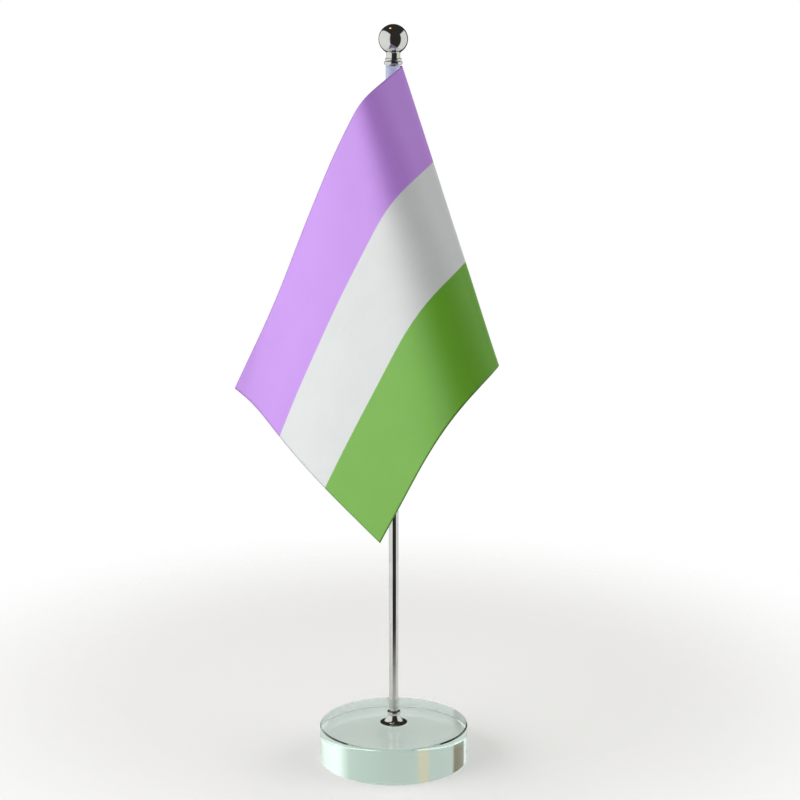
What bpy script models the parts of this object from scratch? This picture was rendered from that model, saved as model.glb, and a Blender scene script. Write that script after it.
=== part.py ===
"""Desk flag stand: a chrome pole on a glass disc, with a striped satin flag in a sleeve.

Run with: blender --background --python part.py
Units are metres, +Z is up, and the origin is the centre of the disc's underside.
"""

import math

import bmesh
import bpy
import numpy as np
from mathutils import Matrix, Vector

# Clearance between pieces that rest on or pass through each other.
GAP = 0.0003

# Glass base.
DISC_DIAMETER = 0.080
DISC_THICKNESS = 0.020
DISC_CHAMFER = 0.0007

# Turned collar, and the adhesive pad that bonds it to the glass. The flare widens evenly, and its lip
# takes the given share of the width, curling out near the bottom.
COLLAR_HEIGHT = 0.0065
BRIM_DIAMETER = 0.0148
BRIM_EDGE = 0.0003
FLARE_HEIGHT = 0.0039
FLARE_LIP = 0.5
FLARE_CURL = 8
COLLAR_NECK_DIAMETER = 0.0066
COLLAR_RING_DIAMETER = 0.0073
COLLAR_RING_HEIGHT = 0.0020
COLLAR_RING_ROUND = 0.0004
PAD_DIAMETER = 0.0076
PAD_THICKNESS = 0.0006

# Pole, tapped at both ends, and its two threaded studs.
POLE_DIAMETER = 0.005
POLE_LENGTH = 0.345
STUD_DIAMETER = 0.003
STUD_IN_POLE = 0.0095
STUD_IN_FINIAL = 0.0075

# Finial: a loose flange, then a ball turned in one piece with its ring and neck.
FLANGE_DIAMETER = 0.0093
FLANGE_HEIGHT = 0.0018
FLANGE_ROUND = 0.0005
RING_DIAMETER = 0.0084
RING_HEIGHT = 0.0012
RING_ROUND = 0.0004
NECK_DIAMETER = 0.0070
NECK_HEIGHT = 0.0022
NECK_FILLET = 0.0012
BALL_DIAMETER = 0.015

# Cloth sleeve on the pole, the folded tape that grips the flag's edge, and its two rows of thread.
SLEEVE_DIAMETER = 0.008
SLEEVE_WALL = 0.0004
TAPE_THICKNESS = 0.00035
TAPE_WIDTH = 0.0036
THREAD_DIAMETER = 0.0004
THREAD_END = 0.001

# Flag.
FLAG_HEIGHT = 0.138
FLAG_LENGTH = 0.211
FLAG_THICKNESS = 0.0004
FLAG_HEADING = math.radians(-60)

# How the cloth hangs: it bends only about straight lines that fan across it. Each row is one such
# line: how far from the hoist it meets the top edge and the bottom edge (mm, on a flag of the drawn
# height and length), and how far the cloth has turned by then (degrees).
DRAPE = [
    (2.4, 4, 0),
    (3.4, 94.5, 0),
    (4, 98, 20),
    (5, 103, 81),
    (32.5, 104.5, 71),
    (48, 151, 160),
    (65, 211, 158),
    (90, 332, 168),
    (127, 450, 173),
    (157, 557, 167),
    (188, 679, 153),
]
DRAWN_LENGTH = 0.211
DRAPE_SAMPLES = 40

# The cloth's grid. Its columns follow the folds near the hoist and spread to the straight fly edge:
# a column's number, and where it meets the top edge and the bottom edge (mm, as above).
COLUMNS = [
    (0, 0, 0),
    (4, 3, 93),
    (14, 9, 102.5),
    (16, 20, 104),
    (32, 57, 181),
    (46, 211, 211),
]
FLAG_ROWS = 15

# Sides of the turned bodies, and steps along their rounded profiles.
SEGMENTS = 40
DISC_SEGMENTS = 72
POLE_SEGMENTS = 32
STUD_SEGMENTS = 24
ROUND_STEPS = 3
FLARE_STEPS = 14
BALL_STEPS = 16
WELD_DISTANCE = 0.00001

# Heights up the pole, each from the one below.
COLLAR_BOTTOM = DISC_THICKNESS + GAP
COLLAR_TOP = COLLAR_BOTTOM + COLLAR_HEIGHT
RECESS_TOP = COLLAR_BOTTOM + PAD_THICKNESS + GAP
POLE_BOTTOM = COLLAR_TOP + GAP
POLE_TOP = POLE_BOTTOM + POLE_LENGTH
FLANGE_BOTTOM = POLE_TOP + GAP
FLANGE_TOP = FLANGE_BOTTOM + FLANGE_HEIGHT
RING_BOTTOM = FLANGE_TOP + GAP
RING_TOP = RING_BOTTOM + RING_HEIGHT
NECK_TOP = RING_TOP + NECK_HEIGHT
FLAG_TOP = FLANGE_BOTTOM - GAP
FLAG_BOTTOM = FLAG_TOP - FLAG_HEIGHT
TAPE_START = SLEEVE_DIAMETER / 2 + GAP
HOIST_REACH = TAPE_START + TAPE_THICKNESS + GAP


def clear_scene():
    for thing in list(bpy.data.objects):
        bpy.data.objects.remove(thing, do_unlink=True)


def material(name, colour, metallic=0.0, roughness=0.5, transmission=0.0):
    finish = bpy.data.materials.new(name)
    finish.use_nodes = True
    shader = finish.node_tree.nodes["Principled BSDF"]
    shader.inputs["Base Color"].default_value = (*colour, 1.0)
    shader.inputs["Metallic"].default_value = metallic
    shader.inputs["Roughness"].default_value = roughness
    shader.inputs["Transmission Weight"].default_value = transmission
    finish.diffuse_color = (*colour, 1.0)
    return finish


def add_object(name, data, collection, *finishes):
    thing = bpy.data.objects.new(name, data)
    collection.objects.link(thing)
    for finish in finishes:
        data.materials.append(finish)
    return thing


def arc(centre, radius, start, end, steps):
    """Points of a circular arc in the (r, z) plane, angles in degrees from +r."""
    angles = [math.radians(start + (end - start) * i / steps) for i in range(steps + 1)]
    return [(centre[0] + radius * math.cos(a), centre[1] + radius * math.sin(a)) for a in angles]


def turned(name, profile, collection, finish, segments=SEGMENTS, ring=False):
    """A body turned about Z. The (r, z) profile runs down its outer side; a ring's profile is closed."""
    mesh = bpy.data.meshes.new(name)
    bm = bmesh.new()
    points = [bm.verts.new((r, 0.0, z)) for r, z in profile]
    pairs = list(zip(points, points[1:]))
    if ring:
        pairs.append((points[-1], points[0]))
    for a, b in pairs:
        bm.edges.new((a, b))
    bm.to_mesh(mesh)
    bm.free()
    thing = add_object(name, mesh, collection, finish)
    screw = thing.modifiers.new("Turn", "SCREW")
    screw.steps = segments
    screw.render_steps = segments
    screw.use_merge_vertices = True
    screw.merge_threshold = WELD_DISTANCE
    screw.use_smooth_shade = True
    return thing


def glass_disc(collection, finish):
    radius = DISC_DIAMETER / 2
    profile = [
        (0.0, DISC_THICKNESS),
        (radius - DISC_CHAMFER, DISC_THICKNESS),
        (radius, DISC_THICKNESS - DISC_CHAMFER),
        (radius, DISC_CHAMFER),
        (radius - DISC_CHAMFER, 0.0),
        (0.0, 0.0),
    ]
    return turned("glass_disc", profile, collection, finish, DISC_SEGMENTS)


def adhesive_pad(collection, finish):
    bottom = COLLAR_BOTTOM
    profile = [
        (0.0, bottom + PAD_THICKNESS),
        (PAD_DIAMETER / 2, bottom + PAD_THICKNESS),
        (PAD_DIAMETER / 2, bottom),
        (0.0, bottom),
    ]
    return turned("adhesive_pad", profile, collection, finish)


def base_collar(collection, finish):
    """A ring over a short neck that opens in a steep bell, which curls out to a thin brim."""
    neck = COLLAR_NECK_DIAMETER / 2
    brim = BRIM_DIAMETER / 2
    ring = COLLAR_RING_DIAMETER / 2
    bore = STUD_DIAMETER / 2 + GAP
    recess = PAD_DIAMETER / 2 + GAP
    ring_bottom = COLLAR_TOP - COLLAR_RING_HEIGHT
    round_in = ring - COLLAR_RING_ROUND
    flare_bottom = COLLAR_BOTTOM + BRIM_EDGE
    profile = [(bore, COLLAR_TOP)]
    profile += arc((round_in, COLLAR_TOP - COLLAR_RING_ROUND), COLLAR_RING_ROUND, 90, 0, ROUND_STEPS)
    profile += arc((round_in, ring_bottom + COLLAR_RING_ROUND), COLLAR_RING_ROUND, 0, -90, ROUND_STEPS)
    for i in range(FLARE_STEPS + 1):
        fall = i / FLARE_STEPS
        opened = (1 - FLARE_LIP) * fall + FLARE_LIP * fall**FLARE_CURL
        profile.append((neck + (brim - neck) * opened, flare_bottom + FLARE_HEIGHT * (1 - fall)))
    profile += [
        (brim, COLLAR_BOTTOM),
        (recess, COLLAR_BOTTOM),
        (recess, RECESS_TOP),
        (bore, RECESS_TOP),
    ]
    return turned("base_collar", profile, collection, finish, ring=True)


def pole(collection, finish):
    """A round rod with a blind tapped bore in each end."""
    radius = POLE_DIAMETER / 2
    bore = STUD_DIAMETER / 2 + GAP
    depth = STUD_IN_POLE + GAP
    profile = [
        (0.0, POLE_TOP - depth),
        (bore, POLE_TOP - depth),
        (bore, POLE_TOP),
        (radius, POLE_TOP),
        (radius, POLE_BOTTOM),
        (bore, POLE_BOTTOM),
        (bore, POLE_BOTTOM + depth),
        (0.0, POLE_BOTTOM + depth),
    ]
    return turned("pole", profile, collection, finish, POLE_SEGMENTS)


def stud(name, bottom, top, collection, finish):
    radius = STUD_DIAMETER / 2
    profile = [(0.0, top), (radius, top), (radius, bottom), (0.0, bottom)]
    return turned(name, profile, collection, finish, STUD_SEGMENTS)


def finial_flange(collection, finish):
    """A thick washer with a rounded edge, held between the pole and the ball."""
    outer = FLANGE_DIAMETER / 2 - FLANGE_ROUND
    bore = STUD_DIAMETER / 2 + GAP
    profile = [(bore, FLANGE_TOP)]
    profile += arc((outer, FLANGE_TOP - FLANGE_ROUND), FLANGE_ROUND, 90, 0, ROUND_STEPS)
    profile += arc((outer, FLANGE_BOTTOM + FLANGE_ROUND), FLANGE_ROUND, 0, -90, ROUND_STEPS)
    profile.append((bore, FLANGE_BOTTOM))
    return turned("finial_flange", profile, collection, finish, ring=True)


def finial_ball(collection, finish):
    """The ball runs through a fillet into its neck, and a small ring closes the neck."""
    radius = BALL_DIAMETER / 2
    neck = NECK_DIAMETER / 2
    bore = STUD_DIAMETER / 2 + GAP
    bore_top = RING_BOTTOM + STUD_IN_FINIAL + GAP
    # The fillet's centre lies outside the neck, and its circle touches the ball's.
    fillet_r = neck + NECK_FILLET
    drop = math.sqrt((radius + NECK_FILLET) ** 2 - fillet_r**2)
    centre_z = NECK_TOP + drop
    touch = math.degrees(math.atan2(-drop, fillet_r))
    profile = arc((0.0, centre_z), radius, 90, touch, BALL_STEPS)
    profile += arc((fillet_r, NECK_TOP), NECK_FILLET, touch + 180, 180, ROUND_STEPS)[1:]
    round_in = RING_DIAMETER / 2 - RING_ROUND
    profile.append((neck, RING_TOP))
    profile += arc((round_in, RING_TOP - RING_ROUND), RING_ROUND, 90, 0, ROUND_STEPS)
    profile += arc((round_in, RING_BOTTOM + RING_ROUND), RING_ROUND, 0, -90, ROUND_STEPS)
    profile += [(bore, RING_BOTTOM), (bore, bore_top), (0.0, bore_top)]
    return turned("finial_ball", profile, collection, finish)


def pole_sleeve(collection, finish):
    outer = SLEEVE_DIAMETER / 2
    inner = outer - SLEEVE_WALL
    profile = [(inner, FLAG_TOP), (outer, FLAG_TOP), (outer, FLAG_BOTTOM), (inner, FLAG_BOTTOM)]
    return turned("pole_sleeve", profile, collection, finish, ring=True)


def hoist_frame():
    """Places local X along the cloth as it leaves the pole, Y across it and Z up the pole."""
    return Matrix.Rotation(FLAG_HEADING, 4, "Z")


def hoist_tape(collection, finish):
    """A strip folded in a U round the flag's edge, with its fold beside the sleeve."""
    slot = FLAG_THICKNESS / 2 + GAP
    outer = slot + TAPE_THICKNESS
    near = TAPE_START
    far = TAPE_START + TAPE_WIDTH
    outline = [
        (near, -outer),
        (far, -outer),
        (far, -slot),
        (near + TAPE_THICKNESS, -slot),
        (near + TAPE_THICKNESS, slot),
        (far, slot),
        (far, outer),
        (near, outer),
    ]
    curve = bpy.data.curves.new("hoist_tape", "CURVE")
    curve.dimensions = "2D"
    curve.fill_mode = "BOTH"
    curve.extrude = FLAG_HEIGHT / 2
    spline = curve.splines.new("POLY")
    spline.points.add(len(outline) - 1)
    for point, (x, y) in zip(spline.points, outline):
        point.co = (x, y, 0.0, 1.0)
    spline.use_cyclic_u = True
    tape = add_object("hoist_tape", curve, collection, finish)
    middle = (FLAG_TOP + FLAG_BOTTOM) / 2
    tape.matrix_world = hoist_frame() @ Matrix.Translation((0.0, 0.0, middle))
    return tape


def hoist_thread(name, side, collection, finish):
    """One row of sewing thread, lying along the tape on the side given as 1 or -1."""
    across = FLAG_THICKNESS / 2 + GAP + TAPE_THICKNESS + GAP + THREAD_DIAMETER / 2
    along = TAPE_START + TAPE_WIDTH / 2
    curve = bpy.data.curves.new(name, "CURVE")
    curve.dimensions = "3D"
    curve.bevel_depth = THREAD_DIAMETER / 2
    curve.bevel_resolution = 2
    curve.use_fill_caps = True
    spline = curve.splines.new("POLY")
    spline.points.add(1)
    for point, z in zip(spline.points, (FLAG_TOP - THREAD_END, FLAG_BOTTOM + THREAD_END)):
        point.co = (along, side * across, z, 1.0)
    thread = add_object(name, curve, collection, finish)
    thread.matrix_world = hoist_frame()
    return thread


def eased(values, samples):
    """The listed values as a smooth run of samples, by a moving average of straight lines."""
    spans = len(values) - 1
    fine = np.interp(np.linspace(0, spans, spans * samples + 1), range(spans + 1), values)
    half = samples // 2
    before = 2 * fine[0] - fine[half:0:-1]
    after = 2 * fine[-1] - fine[-2 : -half - 2 : -1]
    padded = np.concatenate([before, fine, after])
    width = 2 * half + 1
    return np.convolve(padded, np.ones(width) / width, "valid")


def drape():
    """The cloth's flat strips: each one's start on the top and bottom edges, and its placing matrix."""
    to_metres = 0.001 * FLAG_LENGTH / DRAWN_LENGTH
    top = eased([row[0] for row in DRAPE], DRAPE_SAMPLES) * to_metres
    bottom = eased([row[1] for row in DRAPE], DRAPE_SAMPLES) * to_metres
    turn = eased([row[2] for row in DRAPE], DRAPE_SAMPLES)
    # The flat cloth has x along it from the hoist and y down from its top edge.
    place = hoist_frame() @ Matrix.Translation((HOIST_REACH, 0.0, FLAG_TOP))
    place = place @ Matrix.Rotation(-math.pi / 2, 4, "X")
    strips = []
    last = 0.0
    for near, far, turned_to in zip(top, bottom, turn):
        start = Vector((near, 0.0, 0.0))
        end = Vector((far, FLAG_HEIGHT, 0.0))
        bend = Matrix.Rotation(math.radians(turned_to - last), 4, end - start)
        place = place @ Matrix.Translation(start) @ bend @ Matrix.Translation(-start)
        strips.append((near, far, place.copy()))
        last = turned_to
    return strips


def hung(strips, x, y):
    """Where a point of the flat cloth hangs."""
    share = y / FLAG_HEIGHT
    found = strips[0]
    for strip in strips:
        if strip[0] + (strip[1] - strip[0]) * share > x:
            break
        found = strip
    return found[2] @ Vector((x, y, 0.0))


def flag_panel(collection, stripes):
    """A rectangle of cloth in three equal stripes, hung from its hoist edge."""
    strips = drape()
    to_metres = 0.001 * FLAG_LENGTH / DRAWN_LENGTH
    numbers, tops, bottoms = zip(*COLUMNS)
    bm = bmesh.new()
    bmesh.ops.create_grid(bm, x_segments=numbers[-1], y_segments=FLAG_ROWS, size=0.5)
    for face in bm.faces:
        down = 0.5 - face.calc_center_median().y
        face.material_index = min(int(down * len(stripes)), len(stripes) - 1)
        face.smooth = True
    for vert in bm.verts:
        column = (vert.co.x + 0.5) * numbers[-1]
        down = 0.5 - vert.co.y
        at_top = np.interp(column, numbers, tops)
        at_bottom = np.interp(column, numbers, bottoms)
        along = (at_top + (at_bottom - at_top) * down) * to_metres
        vert.co = hung(strips, along, down * FLAG_HEIGHT)
    mesh = bpy.data.meshes.new("flag_panel")
    bm.to_mesh(mesh)
    bm.free()
    flag = add_object("flag_panel", mesh, collection, *stripes)
    cloth = flag.modifiers.new("Cloth", "SOLIDIFY")
    cloth.thickness = FLAG_THICKNESS
    cloth.offset = 0.0
    return flag


def main():
    clear_scene()
    stand = bpy.data.collections.new("desk_flag_stand")
    bpy.context.scene.collection.children.link(stand)

    glass = material("clear_glass", (0.78, 0.88, 0.82), roughness=0.03, transmission=1.0)
    adhesive = material("clear_adhesive", (0.85, 0.88, 0.86), roughness=0.3)
    chrome = material("chrome", (0.62, 0.62, 0.60), metallic=1.0, roughness=0.08)
    steel = material("threaded_steel", (0.45, 0.45, 0.44), metallic=1.0, roughness=0.35)
    sleeve_cloth = material("sleeve_satin", (0.72, 0.76, 0.86), roughness=0.45)
    thread = material("sewing_thread", (0.80, 0.80, 0.80), roughness=0.8)
    lavender = material("lavender_satin", (0.62, 0.42, 0.85), roughness=0.4)
    white = material("white_satin", (0.75, 0.78, 0.77), roughness=0.4)
    green = material("green_satin", (0.21, 0.46, 0.11), roughness=0.4)

    glass_disc(stand, glass)
    adhesive_pad(stand, adhesive)
    base_collar(stand, chrome)
    pole(stand, chrome)
    stud("pole_stud", RECESS_TOP, POLE_BOTTOM + STUD_IN_POLE, stand, steel)
    stud("finial_stud", POLE_TOP - STUD_IN_POLE, RING_BOTTOM + STUD_IN_FINIAL, stand, steel)
    finial_flange(stand, chrome)
    finial_ball(stand, chrome)
    pole_sleeve(stand, sleeve_cloth)
    hoist_tape(stand, sleeve_cloth)
    hoist_thread("hoist_thread_front", -1, stand, thread)
    hoist_thread("hoist_thread_back", 1, stand, thread)
    flag_panel(stand, (lavender, white, green))


main()
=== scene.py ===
import math

import bmesh
import bpy
import numpy as np
from mathutils import Matrix, Vector, noise


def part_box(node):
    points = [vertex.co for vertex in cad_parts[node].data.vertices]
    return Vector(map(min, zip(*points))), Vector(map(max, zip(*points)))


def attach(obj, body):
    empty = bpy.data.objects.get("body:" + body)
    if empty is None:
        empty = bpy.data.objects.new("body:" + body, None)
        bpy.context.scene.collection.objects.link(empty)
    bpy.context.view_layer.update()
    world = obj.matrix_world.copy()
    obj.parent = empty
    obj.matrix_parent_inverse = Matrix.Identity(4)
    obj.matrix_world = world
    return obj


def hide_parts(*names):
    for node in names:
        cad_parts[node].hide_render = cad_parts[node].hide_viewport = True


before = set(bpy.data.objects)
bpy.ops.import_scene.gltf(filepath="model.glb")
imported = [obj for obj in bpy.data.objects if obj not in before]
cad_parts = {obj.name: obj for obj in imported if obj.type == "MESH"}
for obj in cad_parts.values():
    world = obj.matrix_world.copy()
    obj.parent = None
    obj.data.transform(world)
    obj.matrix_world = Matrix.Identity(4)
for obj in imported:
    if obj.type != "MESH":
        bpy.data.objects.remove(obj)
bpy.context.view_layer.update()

MM = 0.001


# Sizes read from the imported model.
def radius_of(node):
    low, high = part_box(node)
    return (high.x - low.x) / 2


def heights_of(node):
    low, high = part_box(node)
    return low.z, high.z


DISC_R = radius_of("glass_disc")
POLE_R = radius_of("pole")
STUD_R = radius_of("pole_stud")
SLEEVE_R = radius_of("pole_sleeve")
HOIST_BOTTOM, HOIST_TOP = heights_of("pole_sleeve")
# The clearance between neighbouring pieces.
GAP = 0.3 * MM
BORE_R = STUD_R + GAP
HEADING = math.radians(-60)
FLAG_H = 0.138
FLAG_L = 0.211
# Thicknesses of the two cloths, and the clearance between them in the seam.
CLOTH = 0.22 * MM
SLEEVE_CLOTH = 0.34 * MM
SEAM_GAP = 0.08 * MM
TAPE_START = SLEEVE_R + GAP
HOIST_REACH = TAPE_START + 0.65 * MM
TAPE_END = TAPE_START + 3.6 * MM

# The cloth's fold lines, as in the CAD: where each meets the top and the bottom edge (mm), and how
# far the cloth has turned by then (degrees).
DRAPE = [
    (2.4, 4, 0),
    (3.4, 94.5, 0),
    (4, 98, 20),
    (5, 103, 81),
    (32.5, 104.5, 71),
    (48, 151, 160),
    (65, 211, 158),
    (90, 332, 168),
    (127, 450, 173),
    (157, 557, 167),
    (188, 679, 153),
]
DRAPE_SAMPLES = 120
COLUMNS = [(0, 0, 0), (12, 3, 93), (56, 9, 102.5), (66, 20, 104), (140, 57, 181), (230, 211, 211)]
ROWS = 138

# The stripes, from the top.
LAVENDER = (0.50, 0.236, 0.754, 1)
WHITE = (0.64, 0.66, 0.66, 1)
GREEN = (0.13, 0.375, 0.018, 1)


# ---------------------------------------------------------------- node helpers
def add(tree, kind, inputs=None, **settings):
    """A shader node. Each input is a socket to link or a value to set, by name or number."""
    made = tree.nodes.new("ShaderNode" + kind)
    for key, value in settings.items():
        setattr(made, key, value)
    for key, value in (inputs or {}).items():
        if isinstance(value, bpy.types.NodeSocket):
            tree.links.new(value, made.inputs[key])
        else:
            made.inputs[key].default_value = value
    return made


def maths(tree, operation, *values, clamp=False):
    return add(tree, "Math", dict(enumerate(values)), operation=operation, use_clamp=clamp).outputs[0]


def ramp(tree, value, low, high, to_low=0.0, to_high=1.0, smooth=True):
    kind = "SMOOTHSTEP" if smooth else "LINEAR"
    inputs = {"Value": value, "From Min": low, "From Max": high, "To Min": to_low, "To Max": to_high}
    return add(tree, "MapRange", inputs, interpolation_type=kind).outputs["Result"]


def mixed(tree, share, first, second):
    made = add(tree, "Mix", data_type="RGBA")
    for name, value in (("Factor_Float", share), ("A_Color", first), ("B_Color", second)):
        socket = next(s for s in made.inputs if s.identifier == name)
        if isinstance(value, bpy.types.NodeSocket):
            tree.links.new(value, socket)
        else:
            socket.default_value = value
    return next(s for s in made.outputs if s.identifier == "Result_Color")


def principled(name, **sockets):
    """A new material, its tree and its Principled shader with the given sockets set."""
    made = bpy.data.materials.new(name)
    made.use_nodes = True
    shader = made.node_tree.nodes["Principled BSDF"]
    for key, value in sockets.items():
        shader.inputs[key.replace("_", " ")].default_value = value
    return made, made.node_tree, shader


def fine_noise(tree, scale, stretch=(1, 1, 1), detail=3.0, roughness=0.5):
    place = add(tree, "TexCoord").outputs["Object"]
    spread = add(tree, "Mapping", {"Vector": place, "Scale": stretch}).outputs[0]
    inputs = {"Vector": spread, "Scale": scale, "Detail": detail, "Roughness": roughness}
    return add(tree, "TexNoise", inputs).outputs[0]


# ---------------------------------------------------------------- materials
def chrome(name, stretch, base=(0.66, 0.66, 0.64, 1)):
    """Polished plating with faint polishing lines, thin smudges and a few hairline marks."""
    made, tree, shader = principled(name, Metallic=1.0)
    smudge = fine_noise(tree, 160, detail=5)
    lines = fine_noise(tree, 900, stretch, detail=2)
    marks = fine_noise(tree, 2400, stretch, detail=1)
    dull = ramp(tree, smudge, 0.42, 0.75, 0.035, 0.11)
    rough = maths(tree, "ADD", dull, ramp(tree, marks, 0.70, 0.80, 0.0, 0.12))
    tree.links.new(rough, shader.inputs["Roughness"])
    darker = tuple(c * 0.9 for c in base[:3]) + (1,)
    tone = mixed(tree, ramp(tree, smudge, 0.35, 0.7), base, darker)
    tree.links.new(tone, shader.inputs["Base Color"])
    bump = add(tree, "Bump", {"Height": lines, "Strength": 0.02, "Distance": 0.0002})
    tree.links.new(bump.outputs[0], shader.inputs["Normal"])
    return made


def machined_steel(name):
    made, tree, shader = principled(name, Metallic=1.0)
    grain = fine_noise(tree, 1500, (1, 1, 4), detail=4)
    tone = mixed(tree, grain, (0.36, 0.35, 0.33, 1), (0.56, 0.55, 0.53, 1))
    tree.links.new(tone, shader.inputs["Base Color"])
    tree.links.new(ramp(tree, grain, 0.3, 0.7, 0.24, 0.45), shader.inputs["Roughness"])
    bump = add(tree, "Bump", {"Height": grain, "Strength": 0.15, "Distance": 0.0001})
    tree.links.new(bump.outputs[0], shader.inputs["Normal"])
    return made


def clear_glass(name):
    """Polished glass with a green cast in depth, faint wipe marks and a finely ground chamfer."""
    made, tree, shader = principled(name, Transmission_Weight=1.0, IOR=1.52)
    shader.inputs["Base Color"].default_value = (0.975, 0.99, 0.98, 1)
    wipe = fine_noise(tree, 45, (1, 2.5, 1), detail=6, roughness=0.6)
    geometry = add(tree, "NewGeometry").outputs["Normal"]
    tilt = add(tree, "SeparateXYZ", {0: geometry}).outputs["Z"]
    slope = maths(tree, "ABSOLUTE", tilt)
    ground = maths(tree, "MULTIPLY", ramp(tree, slope, 0.2, 0.5), ramp(tree, slope, 0.95, 0.8))
    haze = ramp(tree, wipe, 0.5, 0.8, 0.0, 0.022)
    rough = maths(tree, "ADD", haze, maths(tree, "MULTIPLY", ground, 0.10))
    tree.links.new(rough, shader.inputs["Roughness"])
    depth = add(tree, "VolumeAbsorption", {"Color": (0.22, 0.54, 0.40, 1), "Density": 7.0})
    tree.links.new(depth.outputs[0], tree.nodes["Material Output"].inputs["Volume"])
    return made


def clear_film(name):
    made, tree, shader = principled(name, Transmission_Weight=0.85, IOR=1.46)
    shader.inputs["Base Color"].default_value = (0.90, 0.92, 0.88, 1)
    cells = fine_noise(tree, 700, detail=4)
    tree.links.new(ramp(tree, cells, 0.4, 0.65, 0.12, 0.4), shader.inputs["Roughness"])
    return made


def weave(tree, across, along, pitch):
    """Height of a satin weave: long floats along one thread, caught down one place in five."""
    lines = maths(tree, "SINE", maths(tree, "MULTIPLY", across, 2 * math.pi / pitch))
    step = maths(tree, "MULTIPLY", maths(tree, "FLOOR", maths(tree, "DIVIDE", across, pitch)), 0.4)
    phase = maths(tree, "ADD", maths(tree, "DIVIDE", along, 5 * pitch), step)
    catch = ramp(tree, maths(tree, "FRACT", phase), 0.0, 0.16, -1.0, 0.0)
    return maths(tree, "ADD", lines, catch)


def satin(name, stripes):
    """Printed satin: stripes across the drop, a soft slub in the threads, and heat-cut edges."""
    made, tree, shader = principled(
        name,
        Specular_IOR_Level=0.42,
        Sheen_Weight=0.22,
        Sheen_Roughness=0.35,
        Anisotropic=0.35,
    )
    cut = add(tree, "UVMap", uv_map="cloth").outputs[0]
    parts = add(tree, "SeparateXYZ", {0: cut})
    along, down = parts.outputs[0], parts.outputs[1]
    blot = add(tree, "TexNoise", {"Vector": cut, "Scale": 2200.0, "Detail": 2.0}).outputs[0]
    bleed = maths(tree, "MULTIPLY", maths(tree, "SUBTRACT", blot, 0.5), 0.0006)
    at = maths(tree, "ADD", down, bleed)
    tone = stripes[0]
    for i, colour in enumerate(stripes[1:]):
        line = FLAG_H * (i + 1) / len(stripes)
        tone = mixed(tree, ramp(tree, at, line - 0.12 * MM, line + 0.12 * MM), tone, colour)
    slub_place = add(tree, "Mapping", {"Vector": cut, "Scale": (60, 1400, 1)}).outputs[0]
    slub = add(tree, "TexNoise", {"Vector": slub_place, "Scale": 1.0, "Detail": 3.0}).outputs[0]
    cloud = add(tree, "TexNoise", {"Vector": cut, "Scale": 55.0, "Detail": 4.0}).outputs[0]
    share = ramp(tree, maths(tree, "ADD", slub, cloud), 0.75, 1.25, 0.975, 1.02, smooth=False)
    tone = add(tree, "VectorMath", {0: tone, "Scale": share}, operation="SCALE").outputs[0]
    near_end = maths(tree, "SUBTRACT", FLAG_L, along)
    near_bottom = maths(tree, "SUBTRACT", FLAG_H, down)
    border = maths(tree, "MINIMUM", maths(tree, "MINIMUM", down, near_bottom), near_end)
    edge = maths(tree, "ADD", border, maths(tree, "MULTIPLY", bleed, 0.5))
    melted = ramp(tree, edge, 0.35 * MM, 0.75 * MM, 0.72, 1.0)
    tone = add(tree, "VectorMath", {0: tone, "Scale": melted}, operation="SCALE").outputs[0]
    tree.links.new(tone, shader.inputs["Base Color"])
    tree.links.new(ramp(tree, slub, 0.3, 0.7, 0.40, 0.47), shader.inputs["Roughness"])
    height = weave(tree, down, along, 0.24 * MM)
    height = maths(tree, "ADD", height, maths(tree, "MULTIPLY", slub, 1.5))
    bump = add(tree, "Bump", {"Height": height, "Strength": 0.10, "Distance": 0.00004})
    tree.links.new(bump.outputs[0], shader.inputs["Normal"])
    return made


def painted_shade_sleeve_cloth(name):
    made, tree, shader = principled(name, Specular_IOR_Level=0.4, Sheen_Weight=0.2)
    cut = add(tree, "UVMap", uv_map="cloth").outputs[0]
    parts = add(tree, "SeparateXYZ", {0: cut})
    around, down = parts.outputs[0], parts.outputs[1]
    place = add(tree, "Mapping", {"Vector": cut, "Scale": (1200, 90, 1)}).outputs[0]
    slub = add(tree, "TexNoise", {"Vector": place, "Scale": 1.0, "Detail": 3.0}).outputs[0]
    # The sleeve is white satin. Its colour here is painted shade: it is darker and bluish, with a
    # painted lavender tint reflected from the flag beside it. The slub varies the tone at random.
    tone = mixed(tree, slub, (0.38, 0.41, 0.60, 1), (0.47, 0.50, 0.67, 1))
    tree.links.new(tone, shader.inputs["Base Color"])
    tree.links.new(ramp(tree, slub, 0.3, 0.7, 0.38, 0.52), shader.inputs["Roughness"])
    height = weave(tree, around, down, 0.24 * MM)
    bump = add(tree, "Bump", {"Height": height, "Strength": 0.15, "Distance": 0.00005})
    tree.links.new(bump.outputs[0], shader.inputs["Normal"])
    return made


def sewing_thread(name):
    """Spun polyester, with the twist of its plies."""
    made, tree, shader = principled(name, Roughness=0.62, Sheen_Weight=0.3)
    place = add(tree, "TexCoord").outputs["Object"]
    turned_place = add(tree, "Mapping", {"Vector": place, "Rotation": (0.6, 0.3, 0)}).outputs[0]
    inputs = {"Vector": turned_place, "Scale": 1400.0, "Distortion": 0.6}
    twist = add(tree, "TexWave", inputs, bands_direction="Z").outputs["Color"]
    tone = mixed(tree, twist, (0.60, 0.60, 0.66, 1), (0.82, 0.82, 0.86, 1))
    tree.links.new(tone, shader.inputs["Base Color"])
    bump = add(tree, "Bump", {"Height": twist, "Strength": 0.4, "Distance": 0.00005})
    tree.links.new(bump.outputs[0], shader.inputs["Normal"])
    return made


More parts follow.
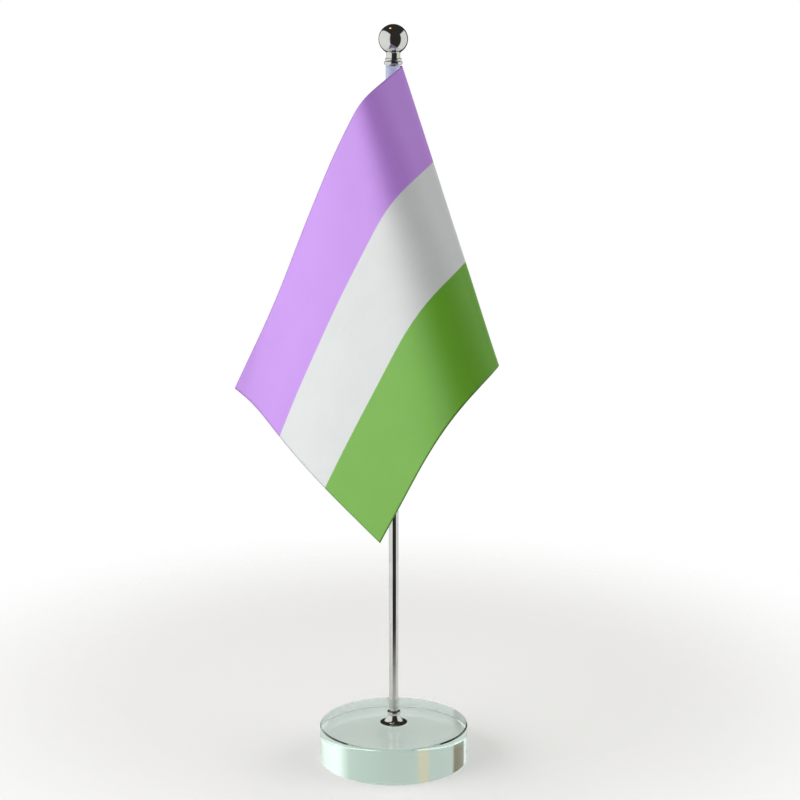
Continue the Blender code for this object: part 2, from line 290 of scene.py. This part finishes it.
# ---------------------------------------------------------------- mesh helpers
def rounded(corners, steps=4):
    """A profile through (r, z, rounding) corners, each rounded by an arc of that radius."""
    points = []
    for i, (r, z, size) in enumerate(corners):
        here = Vector((r, z))
        if size == 0 or i in (0, len(corners) - 1):
            points.append(here)
            continue
        back = Vector(corners[i - 1][:2]) - here
        ahead = Vector(corners[i + 1][:2]) - here
        half = back.angle(ahead) / 2
        reach = size / math.tan(half)
        start = here + back.normalized() * reach
        end = here + ahead.normalized() * reach
        middle = here + (back.normalized() + ahead.normalized()).normalized() * (size / math.sin(half))
        first = math.atan2(*(start - middle).yx)
        sweep = math.atan2(*(end - middle).yx) - first
        sweep = (sweep + math.pi) % (2 * math.pi) - math.pi
        for k in range(steps + 1):
            a = first + sweep * k / steps
            points.append(middle + Vector((math.cos(a), math.sin(a))) * size)
    return [tuple(p) for p in points]


def link(name, mesh, finish):
    thing = bpy.data.objects.new(name, mesh)
    bpy.context.scene.collection.objects.link(thing)
    mesh.materials.append(finish)
    return thing


def turned(name, profile, finish, sides=128, ring=False):
    """A smooth body turned about Z from an (r, z) profile that runs down its outer side."""
    bm = bmesh.new()
    verts = [bm.verts.new((r, 0.0, z)) for r, z in profile]
    pairs = list(zip(verts, verts[1:])) + ([(verts[-1], verts[0])] if ring else [])
    edges = [bm.edges.new(pair) for pair in pairs]
    bmesh.ops.spin(
        bm, geom=verts + edges, cent=(0, 0, 0), axis=(0, 0, 1), angle=2 * math.pi, steps=sides
    )
    bmesh.ops.remove_doubles(bm, verts=bm.verts, dist=0.000002)
    bmesh.ops.recalc_face_normals(bm, faces=bm.faces)
    for face in bm.faces:
        face.smooth = True
    mesh = bpy.data.meshes.new(name)
    bm.to_mesh(mesh)
    bm.free()
    mesh.set_sharp_from_angle(angle=math.radians(38))
    thing = link(name, mesh, finish)
    even = thing.modifiers.new("Even", "WEIGHTED_NORMAL")
    even.keep_sharp = True
    return thing


def threaded_rod(name, radius, bottom, top, finish, pitch=0.0005, depth=0.00028):
    """A rod with a cut helical thread that runs out at both ends."""
    sides, per_turn = 40, 8
    flank = 0.42
    end_taper = 0.25 * MM
    rows = int((top - bottom) / pitch * per_turn)
    bm = bmesh.new()
    rings = []
    for j in range(rows + 1):
        z = bottom + (top - bottom) * j / rows
        fade = min(1.0, (z - bottom) / pitch, (top - z) / pitch)
        ring = []
        for i in range(sides):
            a = 2 * math.pi * i / sides
            phase = (z / pitch - i / sides) % 1.0
            cut = max(0.0, 1 - abs(phase - 0.5) / flank)
            r = radius - depth * cut * fade - end_taper * (1 - fade)
            ring.append(bm.verts.new((r * math.cos(a), r * math.sin(a), z)))
        rings.append(ring)
    for low, high in zip(rings, rings[1:]):
        for i in range(sides):
            k = (i + 1) % sides
            bm.faces.new((low[i], low[k], high[k], high[i])).smooth = True
    bm.faces.new(rings[-1])
    bm.faces.new(list(reversed(rings[0])))
    mesh = bpy.data.meshes.new(name)
    bm.to_mesh(mesh)
    bm.free()
    return link(name, mesh, finish)


def sheet_mesh(name, points, cut, finish, thickness):
    """A sheet of cloth from a grid of points and their places on the flat cut, given a thickness."""
    rows, columns = len(points), len(points[0])
    bm = bmesh.new()
    layer = bm.loops.layers.uv.new("cloth")
    verts = [[bm.verts.new(p) for p in row] for row in points]
    for j in range(rows - 1):
        for i in range(columns - 1):
            corners = ((j, i), (j + 1, i), (j + 1, i + 1), (j, i + 1))
            face = bm.faces.new([verts[b][a] for b, a in corners])
            face.smooth = True
            for loop, (b, a) in zip(face.loops, corners):
                loop[layer].uv = cut[b][a]
    mesh = bpy.data.meshes.new(name)
    bm.to_mesh(mesh)
    bm.free()
    thing = link(name, mesh, finish)
    cloth = thing.modifiers.new("Cloth", "SOLIDIFY")
    cloth.thickness = thickness
    cloth.offset = 0.0
    return thing


# ---------------------------------------------------------------- base
def build_disc(glass):
    low, high = heights_of("glass_disc")
    chamfer = 0.7 * MM
    soft = 0.12 * MM
    corners = [
        (0, high, 0),
        (DISC_R - chamfer, high, soft),
        (DISC_R, high - chamfer, soft),
        (DISC_R, low + chamfer, soft),
        (DISC_R - chamfer, low, soft),
        (0, low, 0),
    ]
    disc = turned("disc", rounded(corners), glass, sides=256)
    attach(disc, "base")
    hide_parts("glass_disc")


def build_pad(film):
    low, high = heights_of("adhesive_pad")
    r = radius_of("adhesive_pad")
    soft = 0.25 * MM
    corners = [(0, high, 0), (r, high, soft), (r, low, soft), (0, low, 0)]
    pad = turned("bond_film", rounded(corners), film, sides=64)
    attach(pad, "base")
    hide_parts("adhesive_pad")


def build_collar(finish):
    low, high = heights_of("base_collar")
    brim = radius_of("base_collar")
    neck, ring = 3.3 * MM, 3.65 * MM
    ring_low = high - 2.0 * MM
    flare_low = low + 0.3 * MM
    flare = 3.9 * MM
    flare_steps = 40
    # The share of the flare that opens only at the lip, and how late it curls.
    lip, curl = 0.5, 8
    lip_inset = 0.12 * MM
    rim, rim_steps = 0.15 * MM, 4
    recess = radius_of("adhesive_pad") + GAP
    recess_top = heights_of("adhesive_pad")[1] + GAP
    top = [
        (BORE_R, high - 0.3 * MM, 0),
        (BORE_R + 0.3 * MM, high, 0.08 * MM),
        (ring, high, 0.45 * MM),
        (ring, ring_low, 0.45 * MM),
        (neck, ring_low - 0.02 * MM, 0),
    ]
    profile = rounded(top, 6)[:-1]
    for i in range(flare_steps + 1):
        fall = i / flare_steps
        opened = (1 - lip) * fall + lip * fall**curl
        profile.append((neck + (brim - lip_inset - neck) * opened, flare_low + flare * (1 - fall)))
    for k in range(1, rim_steps + 1):
        a = math.pi / 2 - math.pi * k / rim_steps
        profile.append((brim - rim + rim * math.cos(a), low + rim + rim * math.sin(a)))
    profile += [(recess, low), (recess, recess_top), (BORE_R, recess_top)]
    collar = turned("collar", profile, finish, sides=128, ring=True)
    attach(collar, "base")
    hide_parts("base_collar")


# ---------------------------------------------------------------- pole and finial
def build_pole(finish):
    low, high = heights_of("pole")
    bore_depth = 9.8 * MM
    half = [
        (0, high - bore_depth, 0),
        (BORE_R, high - bore_depth, 0.1 * MM),
        (BORE_R, high, 0.08 * MM),
        (POLE_R, high, 0.22 * MM),
    ]
    other = [(r, low + high - z, size) for r, z, size in reversed(half)]
    pole = turned("pole_rod", rounded(half + other, 5), finish, sides=96)
    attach(pole, "pole")
    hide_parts("pole")


def build_studs(finish):
    for node in ("pole_stud", "finial_stud"):
        low, high = heights_of(node)
        rod = threaded_rod(node + "_threaded", STUD_R, low, high, finish)
        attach(rod, "pole")
        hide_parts(node)


def build_flange(finish):
    low, high = heights_of("finial_flange")
    r = radius_of("finial_flange")
    corners = [
        (BORE_R, high - 0.2 * MM, 0),
        (BORE_R + 0.2 * MM, high, 0.05 * MM),
        (r, high, 0.55 * MM),
        (r, low, 0.75 * MM),
        (BORE_R, low, 0),
    ]
    flange = turned("flange", rounded(corners, 7), finish, sides=96, ring=True)
    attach(flange, "pole")
    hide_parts("finial_flange")


def build_ball(finish):
    low, high = heights_of("finial_ball")
    radius, neck, ring = 7.5 * MM, 3.5 * MM, 4.2 * MM
    fillet = 1.2 * MM
    neck_top = low + 3.4 * MM
    fillet_r = neck + fillet
    drop = math.sqrt((radius + fillet) ** 2 - fillet_r**2)
    centre = neck_top + drop
    touch = math.atan2(-drop, fillet_r)
    ball_steps, fillet_steps = 56, 8
    profile = []
    for k in range(ball_steps + 1):
        a = math.pi / 2 + (touch - math.pi / 2) * k / ball_steps
        profile.append((radius * math.cos(a), centre + radius * math.sin(a)))
    for k in range(1, fillet_steps + 1):
        a = touch + math.pi - touch * k / fillet_steps
        profile.append((fillet_r + fillet * math.cos(a), neck_top + fillet * math.sin(a)))
    bore_top = low + 7.8 * MM
    ring_top = low + 1.2 * MM
    foot = [
        (neck, neck_top, 0),
        (neck, ring_top, 0.2 * MM),
        (ring, ring_top, 0.4 * MM),
        (ring, low, 0.4 * MM),
        (BORE_R, low, 0.1 * MM),
        (BORE_R, bore_top, 0.05 * MM),
        (0, bore_top, 0),
    ]
    profile += rounded(foot, 5)[1:]
    ball = turned("ball", profile, finish, sides=160)
    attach(ball, "finial")
    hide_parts("finial_ball")


# ---------------------------------------------------------------- sleeve, stitches and flag
def hoist_frame():
    return Matrix.Rotation(HEADING, 4, "Z")


def sleeve_outline():
    """The sleeve's line in the hoist frame: from one tail, round the pole, to the other tail."""
    line = SLEEVE_R - 0.2 * MM
    tail = CLOTH / 2 + SEAM_GAP + SLEEVE_CLOTH / 2
    bend = TAPE_START + 1.0 * MM
    reach = math.hypot(bend, tail)
    leave = math.acos(line / reach) + math.atan2(tail, bend)
    points = [(TAPE_END, tail), (bend + 0.6 * MM, tail), (bend - 0.2 * MM, tail + 0.12 * MM)]
    turn_steps, samples, softenings = 32, 97, 6
    for k in range(turn_steps + 1):
        a = leave + (2 * math.pi - 2 * leave) * k / turn_steps
        points.append((line * math.cos(a), line * math.sin(a)))
    points += [(x, -y) for x, y in reversed(points[:3])]
    # Evenly spaced along the line, then softened.
    points = np.array(points)
    step = np.concatenate([[0], np.cumsum(np.hypot(*np.diff(points, axis=0).T))])
    even = np.linspace(0, step[-1], samples)
    fine = np.stack([np.interp(even, step, points[:, i]) for i in (0, 1)], 1)
    for _ in range(softenings):
        fine[1:-1] = (fine[:-2] + 2 * fine[1:-1] + fine[2:]) / 4
    return fine


def build_sleeve(finish):
    outline = sleeve_outline()
    along = np.concatenate([[0], np.cumsum(np.hypot(*np.diff(outline, axis=0).T))])
    to_world = hoist_frame()
    points, cut = [], []
    rows = 110
    for j in range(rows + 1):
        z = HOIST_TOP - 0.15 * MM - (HOIST_TOP - HOIST_BOTTOM - 0.3 * MM) * j / rows
        row, flat = [], []
        for (x, y), s in zip(outline, along):
            free = max(0.0, min(1.0, (TAPE_START + 0.2 * MM - x) / (2 * MM)))
            soft = noise.noise(Vector((x * 260, y * 260, z * 55))) * 0.16 * MM * free
            pull = 1 + soft / max(math.hypot(x, y), MM)
            row.append(to_world @ Vector((x * pull, y * pull, z)))
            flat.append((s, HOIST_TOP - z))
        points.append(row)
        cut.append(flat)
    sleeve = sheet_mesh("hoist_sleeve", points, cut, finish, SLEEVE_CLOTH)
    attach(sleeve, "flag")
    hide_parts("pole_sleeve", "hoist_tape")


def build_stitches(side, finish):
    """A row of lockstitches: short threads that rise from the cloth and dip into it again."""
    name = "stitches_front" if side < 0 else "stitches_back"
    surface = CLOTH / 2 + SEAM_GAP + SLEEVE_CLOTH
    x = TAPE_END - 1.1 * MM
    pitch, thread = 2.5 * MM, 0.34 * MM
    curve = bpy.data.curves.new(name, "CURVE")
    curve.dimensions = "3D"
    curve.bevel_depth = thread / 2
    curve.bevel_resolution = 2
    curve.use_fill_caps = True
    count = int((FLAG_H - 3 * MM) / pitch)
    # One stitch: how far along its pitch, and how far out of the cloth (mm).
    shape = [
        (0.06, -0.12),
        (0.14, 0.10),
        (0.3, 0.17),
        (0.5, 0.19),
        (0.7, 0.17),
        (0.86, 0.10),
        (0.94, -0.12),
    ]
    for k in range(count):
        high = HOIST_TOP - 1.5 * MM - k * pitch
        wander = noise.noise(Vector((k * 0.7, side * 3.1, 0))) * 0.08 * MM
        spline = curve.splines.new("POLY")
        spline.points.add(len(shape) - 1)
        for point, (share, rise) in zip(spline.points, shape):
            point.co = (x + wander, side * (surface + rise * MM), high - share * pitch, 1)
    row = bpy.data.objects.new(name, curve)
    bpy.context.scene.collection.objects.link(row)
    curve.materials.append(finish)
    row.matrix_world = hoist_frame()
    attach(row, "flag")
    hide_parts("hoist_thread_front" if side < 0 else "hoist_thread_back")
    return row


def eased(values, samples):
    """The listed values as a smooth run of samples, by a moving average of straight lines."""
    spans = len(values) - 1
    fine = np.interp(np.linspace(0, spans, spans * samples + 1), range(spans + 1), values)
    half = samples // 2
    before = 2 * fine[0] - fine[half:0:-1]
    after = 2 * fine[-1] - fine[-2 : -half - 2 : -1]
    padded = np.concatenate([before, fine, after])
    width = 2 * half + 1
    return np.convolve(padded, np.ones(width) / width, "valid")


def drape():
    """Where each fold line meets the top and bottom edges, and each flat strip's placing matrix."""
    top, bottom, turn = (eased([row[i] for row in DRAPE], DRAPE_SAMPLES) for i in range(3))
    top, bottom = top * MM, bottom * MM
    place = hoist_frame() @ Matrix.Translation((HOIST_REACH, 0.0, HOIST_TOP))
    place = place @ Matrix.Rotation(-math.pi / 2, 4, "X")
    placings = []
    last = 0.0
    for near, far, turned_to in zip(top, bottom, turn):
        start = Vector((near, 0.0, 0.0))
        end = Vector((far, FLAG_H, 0.0))
        bend = Matrix.Rotation(math.radians(turned_to - last), 4, end - start)
        place = place @ Matrix.Translation(start) @ bend @ Matrix.Translation(-start)
        placings.append(place.copy())
        last = turned_to
    return top, bottom, placings


def build_flag(finish):
    top, bottom, placings = drape()
    numbers, tops, bottoms = zip(*COLUMNS)
    points, cut = [], []
    for j in range(ROWS + 1):
        share = j / ROWS
        lines = top + (bottom - top) * share
        row, flat = [], []
        for i in range(numbers[-1] + 1):
            at_top = np.interp(i, numbers, tops)
            at_bottom = np.interp(i, numbers, bottoms)
            x = (at_top + (at_bottom - at_top) * share) * MM
            strip = max(0, int(np.searchsorted(lines, x, "right")) - 1)
            y = share * FLAG_H
            # The cloth lies a little unevenly, more so towards its free edges.
            loose = min(1.0, x / (60 * MM)) * 0.35 * MM
            ripple = noise.noise(Vector((x * 24, y * 18, 4.2))) * loose
            row.append(placings[strip] @ Vector((x, y, ripple)))
            flat.append((x, y))
        points.append(row)
        cut.append(flat)
    flag = sheet_mesh("flag_cloth", points, cut, finish, CLOTH)
    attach(flag, "flag")
    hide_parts("flag_panel")
    return flag


# ---------------------------------------------------------------- stage, light and camera
# What stands round the stage behind the glass, by azimuth in degrees: a pale wall with a cream
# strip, a bright panel to the right and a wooden post to the left.
PALE = (0.72, 0.74, 0.72)
PANEL = (1.5, 1.5, 1.5)
CREAM = (0.95, 0.77, 0.60)
WOOD = (0.28, 0.20, 0.12)
BEHIND_GLASS = [
    (-180, PALE),
    (-152, (0.80, 0.83, 0.80)),
    (-140, PANEL),
    (-60, PANEL),
    (60, PANEL),
    (110, PANEL),
    (112, (0.22, 0.22, 0.18)),
    (120, WOOD),
    (133, WOOD),
    (136, PALE),
    (158, PALE),
    (160, CREAM),
    (165, CREAM),
    (167, PALE),
    (180, PALE),
]


def softbox(tree, azimuth, elevation, from_az, to_az, edge, facing, top):
    """How much of a tall soft panel shows in a direction, between two azimuths in degrees.

    The panel's upper edge is level, so it stands highest where the panel faces the stage.
    """
    rad = math.radians
    enter = ramp(tree, azimuth, rad(from_az - edge), rad(from_az + edge))
    leave = ramp(tree, azimuth, rad(to_az + edge), rad(to_az - edge))
    aside = maths(tree, "COSINE", maths(tree, "SUBTRACT", azimuth, rad(facing)))
    arch = maths(tree, "ARCTANGENT", maths(tree, "MULTIPLY", aside, math.tan(rad(top))))
    above = maths(tree, "SUBTRACT", elevation, arch)
    soft = 3
    foot_low, foot_high = -72, -55
    under = ramp(tree, above, rad(soft), rad(-soft))
    over = ramp(tree, elevation, rad(foot_low), rad(foot_high))
    sides = maths(tree, "MULTIPLY", enter, leave)
    return maths(tree, "MULTIPLY", sides, maths(tree, "MULTIPLY", under, over))


def build_world():
    """A dark room with a tall softbox on each side and a small warm lamp; the backdrop is pale."""
    world = bpy.data.worlds.new("studio")
    bpy.context.scene.world = world
    world.use_nodes = True
    tree = world.node_tree
    tree.nodes.clear()
    way = add(tree, "TexCoord").outputs["Generated"]
    parts = add(tree, "SeparateXYZ", {0: way})
    left = maths(tree, "MULTIPLY", parts.outputs[0], -1.0)
    near = maths(tree, "MULTIPLY", parts.outputs[1], -1.0)
    azimuth = maths(tree, "ARCTAN2", left, near)
    elevation = maths(tree, "ARCSINE", parts.outputs[2])
    on_left = softbox(tree, azimuth, elevation, from_az=27, to_az=147, edge=5, facing=75, top=47)
    on_right = softbox(tree, azimuth, elevation, from_az=-140, to_az=-63, edge=4, facing=-95, top=36)
    right_strength = 0.95
    panels = maths(tree, "ADD", on_left, maths(tree, "MULTIPLY", on_right, right_strength))
    room = mixed(tree, panels, (0.035, 0.033, 0.028, 1), (1.0, 1.02, 1.0, 1))
    turn = add(tree, "MapRange", {"Value": azimuth, "From Min": -math.pi, "From Max": math.pi})
    bands = add(tree, "ValToRGB", {0: turn.outputs["Result"]})
    seen_through = bands.color_ramp
    while len(seen_through.elements) < len(BEHIND_GLASS):
        seen_through.elements.new(0.5)
    for stop, (degrees, colour) in zip(seen_through.elements, BEHIND_GLASS):
        stop.position = (degrees + 180) / 360
        stop.color = (*colour, 1)
    backdrop = bands.outputs["Color"]
    lamp_way = Vector((-0.267, 0.111, 0.957)).normalized()
    facing = add(tree, "VectorMath", {0: way, 1: lamp_way}, operation="DOT_PRODUCT").outputs["Value"]
    # An orange halo round a pale core, each fading between two angles from the lamp's middle.
    lamp = [(9, 4, (1.1, 0.42, 0.14, 1)), (4.5, 2.5, (4.0, 2.9, 2.0, 1))]
    for outer, inner, colour in lamp:
        share = ramp(tree, facing, math.cos(math.radians(outer)), math.cos(math.radians(inner)))
        room = mixed(tree, share, room, colour)
    seen = add(tree, "LightPath").outputs["Is Camera Ray"]
    through = add(tree, "LightPath").outputs["Is Transmission Ray"]
    room = mixed(tree, through, room, backdrop)
    shown = mixed(tree, seen, room, (1.0, 1.0, 1.0, 1))
    background = add(tree, "Background", {"Color": shown, "Strength": 1.0})
    output = add(tree, "OutputWorld")
    tree.links.new(background.outputs[0], output.inputs["Surface"])


def area_light(name, azimuth, height, size, power, glossy=False, only_on=None):
    """A soft fill from where a softbox stands, aimed at the flag."""
    light = bpy.data.lights.new(name, "AREA")
    light.shape = "RECTANGLE"
    light.size, light.size_y = size
    light.energy = power
    lamp = bpy.data.objects.new(name, light)
    bpy.context.scene.collection.objects.link(lamp)
    a = math.radians(azimuth)
    distance, aim_height = 1.15, 0.24
    lamp.location = (-math.sin(a) * distance, -math.cos(a) * distance, height)
    aim = Vector((0, 0, aim_height)) - lamp.location
    lamp.rotation_euler = aim.to_track_quat("-Z", "Y").to_euler()
    lamp.visible_camera = False
    lamp.visible_glossy = glossy
    lamp.visible_transmission = False
    if only_on:
        lamp.visible_diffuse = False
        lit = bpy.data.collections.new(name + "_lit")
        lit.objects.link(only_on)
        lamp.light_linking.receiver_collection = lit


def top_light():
    """A broad soft fill overhead, too dull to show in the chrome."""
    light = bpy.data.lights.new("fill_top", "AREA")
    light.shape = "DISK"
    light.size = 1.8
    light.energy = 5
    lamp = bpy.data.objects.new("fill_top", light)
    bpy.context.scene.collection.objects.link(lamp)
    lamp.location = (0, 0.1, 1.5)
    lamp.visible_camera = False
    lamp.visible_glossy = False


def build_floor():
    """A pale floor that fades into the backdrop away from the object."""
    made, tree, shader = principled("pale_floor", Roughness=0.9, Specular_IOR_Level=0.1)
    shader.inputs["Emission Color"].default_value = (1, 1, 1, 1)
    shader.inputs["Emission Strength"].default_value = 0.22
    grain = fine_noise(tree, 90, detail=4)
    tone = mixed(tree, grain, (0.80, 0.80, 0.79, 1), (0.83, 0.83, 0.82, 1))
    tree.links.new(tone, shader.inputs["Base Color"])
    place = add(tree, "TexCoord").outputs["Object"]
    away = add(tree, "VectorMath", {0: place}, operation="LENGTH").outputs["Value"]
    solid_to, gone_by, radius = 0.13, 0.36, 0.45
    tree.links.new(ramp(tree, away, solid_to, gone_by, 1.0, 0.0), shader.inputs["Alpha"])
    bm = bmesh.new()
    bmesh.ops.create_circle(bm, cap_ends=True, segments=96, radius=radius)
    mesh = bpy.data.meshes.new("floor")
    bm.to_mesh(mesh)
    bm.free()
    floor = link("floor", mesh, made)
    floor.location = (0, 0.12, -0.0002)


def build_camera():
    camera = bpy.data.cameras.new("camera")
    camera.lens = 87.39
    camera.sensor_width = 36
    camera.clip_start = 0.01
    view = bpy.data.objects.new("camera", camera)
    view.location = (0, -1.0, 0.4004)
    view.rotation_euler = (math.radians(78.60), 0, math.radians(-0.195))
    bpy.context.scene.collection.objects.link(view)
    bpy.context.scene.camera = view


build_camera()
build_world()
area_light("fill_left", 70, 0.62, (2.0, 1.2), 10.5)
area_light("fill_right", -90, 0.95, (1.8, 1.2), 7.5)
top_light()
build_floor()

bright = chrome("chrome_turned", (0.3, 0.3, 6))
drawn = chrome("chrome_drawn", (6, 6, 0.12))
steel = machined_steel("steel_threaded")
build_disc(clear_glass("glass"))
build_pad(clear_film("bond"))
build_collar(bright)
build_pole(drawn)
build_studs(steel)
build_flange(bright)
build_ball(bright)
build_sleeve(painted_shade_sleeve_cloth("sleeve_cloth_painted_shade"))
thread = sewing_thread("thread")
rows = [build_stitches(side, thread) for side in (-1, 1)]
flag = build_flag(satin("satin_flag", (LAVENDER, WHITE, GREEN)))
area_light("gloss_left", 80, 0.5, (1.6, 1.0), 9.0, glossy=True, only_on=flag)

bpy.context.scene.view_settings.view_transform = "Standard"

bpy.context.view_layer.update()
